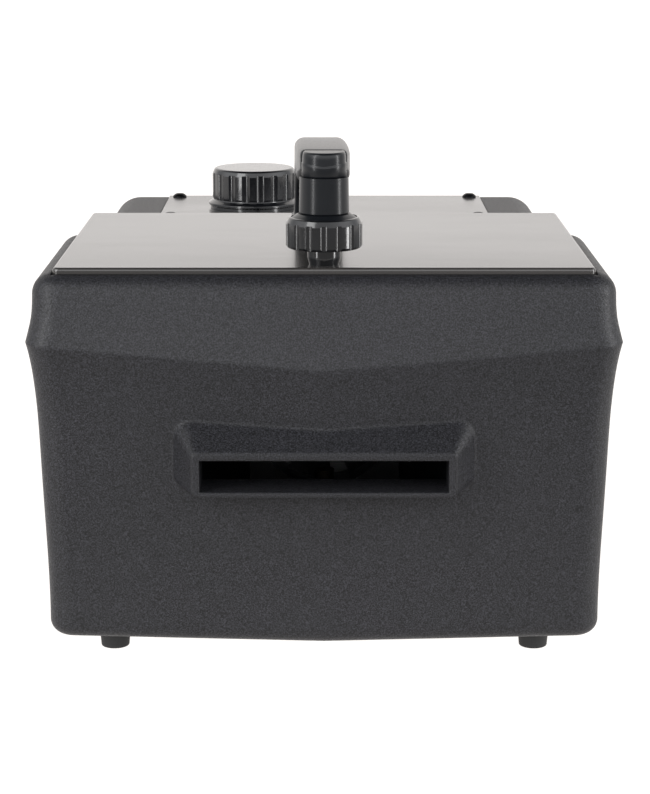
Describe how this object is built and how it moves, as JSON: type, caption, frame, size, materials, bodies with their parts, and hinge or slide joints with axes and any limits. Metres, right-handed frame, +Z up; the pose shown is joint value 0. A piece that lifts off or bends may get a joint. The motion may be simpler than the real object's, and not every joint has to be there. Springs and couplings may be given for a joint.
{
  "type": "fog machine",
  "caption": "Compact touring fog machine with moulded covers, a slot outlet hood, a hinged lid with carry handle and a side filler cap.",
  "frame": {"origin": "middle of the footprint, on the floor under the feet", "axes": "+Z up, the fog outlet faces -Y, +X to the right of someone facing the outlet"},
  "size_m": [0.288, 0.46, 0.2542],
  "materials": {
    "moulded_plastic": "fine grained moulded charcoal plastic",
    "black_steel": "black satin powder coat",
    "plated_steel": "zinc plated sheet",
    "hinge_steel": "plated steel",
    "black_screws": "black oxide",
    "soft_foam": "closed cell foam",
    "knob_plastic": "glossy black moulded plastic",
    "tank_plastic": "translucent white polyethylene",
    "rest_plastic": "nylon",
    "duct_aluminium": "mill finish",
    "fan_plastic": "black plastic",
    "lagging_fabric": "woven glass cloth",
    "brass": "machined brass",
    "coil_plastic": "potted coil",
    "hose_rubber": "silicone hose",
    "copper_pipe": "drawn copper",
    "socket_plastic": "black thermoplastic",
    "connector_metal": "dark nickel plated",
    "display_glass": "tinted window",
    "board_green": "solder resist on glass epoxy",
    "button_plastic": "black keycap",
    "foot_rubber": "moulded rubber"
  },
  "bodies": {
    "machine": {"bay_bulkhead": "plated_steel", "board_standoffs": "rest_plastic", "chassis_pan": "plated_steel", "control_panel": "black_steel", "deck_screws": "black_screws", "delivery_pipe": "copper_pipe", "display_board": "socket_plastic", "display_window": "display_glass", "dmx_input": "connector_metal", "dmx_output": "connector_metal", "fan_housing": "fan_plastic", "filler_neck": "tank_plastic", "fluid_tank": "tank_plastic", "fog_nozzle": "brass", "foot_front_left": "foot_rubber", "foot_front_right": "foot_rubber", "foot_rear_left": "foot_rubber", "foot_rear_right": "foot_rubber", "foot_screws": "black_screws", "front_cover": "moulded_plastic", "fuse_holder": "socket_plastic", "heater_block": "duct_aluminium", "heater_lagging": "lagging_fabric", "heater_stands": "plated_steel", "hinge_leaf_fixed": "hinge_steel", "hinge_pin": "hinge_steel", "inlet_pins": "brass", "outlet_duct": "duct_aluminium", "power_board": "board_green", "power_inlet": "socket_plastic", "pump_body": "brass", "pump_bracket": "plated_steel", "pump_coil": "coil_plastic", "rear_cover": "moulded_plastic", "rear_top_panel": "black_steel", "suction_hose": "hose_rubber", "switch_frame": "socket_plastic", "tank_supports": "plated_steel", "thermal_switch": "brass"},
    "lid": {"lid": "black_steel", "lid_gasket": "soft_foam", "hinge_leaf_moving": "hinge_steel", "carry_handle": "knob_plastic", "handle_ferrule": "knob_plastic", "handle_disc": "knob_plastic", "lock_bush": "knob_plastic", "handle_bolt": "hinge_steel", "handle_screws": "black_screws"},
    "lock": {"lock_knob": "knob_plastic", "lock_spindle": "hinge_steel"},
    "cap_lift": {"cap_gasket": "soft_foam"},
    "cap": {"tank_cap": "knob_plastic"},
    "impeller": {"fan_impeller": "fan_plastic"},
    "fuse_cap": {"fuse_cap": "socket_plastic"},
    "rocker": {"power_rocker": "socket_plastic"},
    "latch": {"latch_tab": "socket_plastic"},
    "menu_button": {"menu_button": "button_plastic"},
    "down_button": {"down_button": "button_plastic"},
    "up_button": {"up_button": "button_plastic"},
    "enter_button": {"enter_button": "button_plastic"}
  },
  "joints": [
    {"name": "lid_hinge", "type": "hinge", "parent": "machine", "child": "lid", "pos_m": [0, -0.0025, 0.1935], "axis": [-1, 0, 0], "range_deg": [0, 80]},
    {"name": "lock_turn", "type": "hinge", "parent": "lid", "child": "lock", "pos_m": [0, -0.1883, 0.21], "axis": [0, 0, -1], "range_deg": [0, 90]},
    {"name": "cap_rise", "type": "slide", "parent": "machine", "child": "cap_lift", "axis": [0, 0, 1], "range_m": [0, 0.0122]},
    {"name": "cap_turn", "type": "hinge", "parent": "cap_lift", "child": "cap", "pos_m": [-0.045, 0.173, 0.185], "axis": [0, 0, 1], "range_deg": [0, 1080]},
    {"name": "fan_spin", "type": "hinge", "parent": "machine", "child": "impeller", "pos_m": [0, -0.085, 0.10165], "axis": [0, 1, 0], "continuous": true},
    {"name": "fuse_turn", "type": "hinge", "parent": "machine", "child": "fuse_cap", "pos_m": [-0.066, 0.224, 0.1], "axis": [0, 1, 0], "range_deg": [-45, 0]},
    {"name": "rocker_tilt", "type": "hinge", "parent": "machine", "child": "rocker", "pos_m": [-0.018, 0.223, 0.062], "axis": [-1, 0, 0], "range_deg": [0, 16]},
    {"name": "latch_press", "type": "slide", "parent": "machine", "child": "latch", "axis": [0, 0, -1], "range_m": [0, 0.0015], "stiffness_N_per_m": 800},
    {"name": "menu_button_press", "type": "slide", "parent": "machine", "child": "menu_button", "axis": [0, -1, 0], "range_m": [0, 0.001], "stiffness_N_per_m": 600},
    {"name": "down_button_press", "type": "slide", "parent": "machine", "child": "down_button", "axis": [0, -1, 0], "range_m": [0, 0.001], "stiffness_N_per_m": 600},
    {"name": "up_button_press", "type": "slide", "parent": "machine", "child": "up_button", "axis": [0, -1, 0], "range_m": [0, 0.001], "stiffness_N_per_m": 600},
    {"name": "enter_button_press", "type": "slide", "parent": "machine", "child": "enter_button", "axis": [0, -1, 0], "range_m": [0, 0.001], "stiffness_N_per_m": 600}
  ],
  "couplings": [
    {"joint": "cap_rise", "follows": "cap_turn", "m_per_rad": 0.00064}
  ]
}
